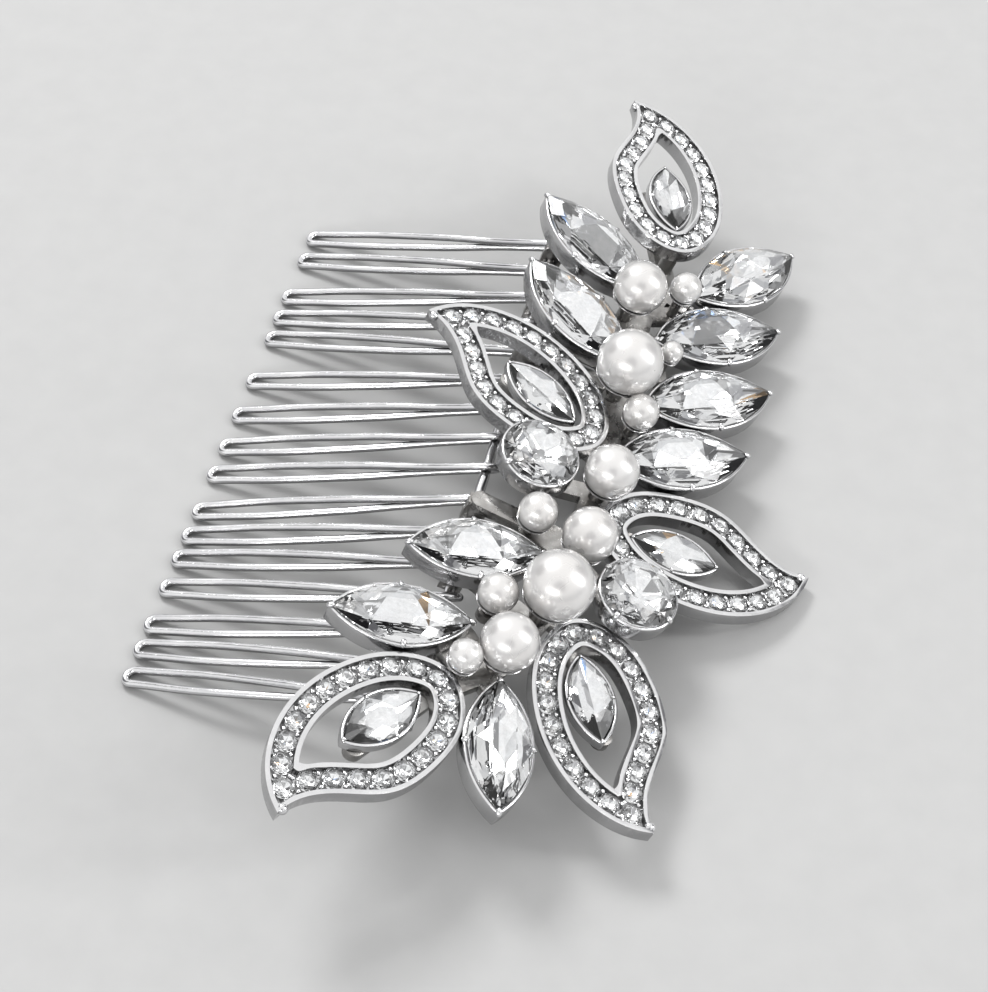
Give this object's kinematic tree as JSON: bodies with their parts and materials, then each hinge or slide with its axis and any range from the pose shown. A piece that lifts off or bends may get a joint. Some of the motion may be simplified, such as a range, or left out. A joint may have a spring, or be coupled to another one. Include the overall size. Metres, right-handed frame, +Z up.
{
  "type": "decorative hair comb",
  "caption": "Bridal hair comb: twisted wire teeth carrying a silver spray of stone-set open leaves, pointed-oval crystals and pearls",
  "frame": {"origin": "centre of the footprint, on the table that the comb rests on", "axes": "+Z up, +Y along the spine rod towards the first tooth, +X from the tooth tips towards the spray"},
  "size_m": [0.0736, 0.1158, 0.0195],
  "materials": {
    "silver_casting": "polished rhodium plate",
    "comb_wire": "bright drawn wire, rhodium plated",
    "crystal": "cut clear glass with a mirror foil back",
    "pearl": "white pearl lustre"
  },
  "bodies": {
    "root": {"branch": "silver_casting", "leaf_frame_1": "silver_casting", "leaf_frame_2": "silver_casting", "leaf_frame_3": "silver_casting", "leaf_frame_4": "silver_casting", "leaf_frame_5": "silver_casting", "leaf_navette_settings": "silver_casting", "leaf_navettes": "crystal", "leaf_stones_1": "crystal", "leaf_stones_2": "crystal", "leaf_stones_3": "crystal", "leaf_stones_4": "crystal", "leaf_stones_5": "crystal", "navette_1": "crystal", "navette_2": "crystal", "navette_3": "crystal", "navette_4": "crystal", "navette_5": "crystal", "navette_6": "crystal", "navette_7": "crystal", "navette_8": "crystal", "navette_9": "crystal", "navette_settings": "silver_casting", "pearl_01": "pearl", "pearl_02": "pearl", "pearl_03": "pearl", "pearl_04": "pearl", "pearl_05": "pearl", "pearl_06": "pearl", "pearl_07": "pearl", "pearl_08": "pearl", "pearl_09": "pearl", "pearl_10": "pearl", "pearl_11": "pearl", "pearl_12": "pearl", "pearl_cups_large": "silver_casting", "pearl_cups_medium": "silver_casting", "pearl_cups_small": "silver_casting", "round_settings": "silver_casting", "round_stone_1": "crystal", "round_stone_2": "crystal", "spine_rod": "comb_wire", "tooth_01": "comb_wire", "tooth_02": "comb_wire", "tooth_03": "comb_wire", "tooth_04": "comb_wire", "tooth_05": "comb_wire", "tooth_06": "comb_wire", "tooth_07": "comb_wire", "tooth_08": "comb_wire", "tooth_09": "comb_wire", "tooth_10": "comb_wire", "tooth_11": "comb_wire", "tooth_12": "comb_wire", "tooth_13": "comb_wire", "tooth_14": "comb_wire", "tooth_15": "comb_wire", "tooth_16": "comb_wire"}
  },
  "joints": []
}
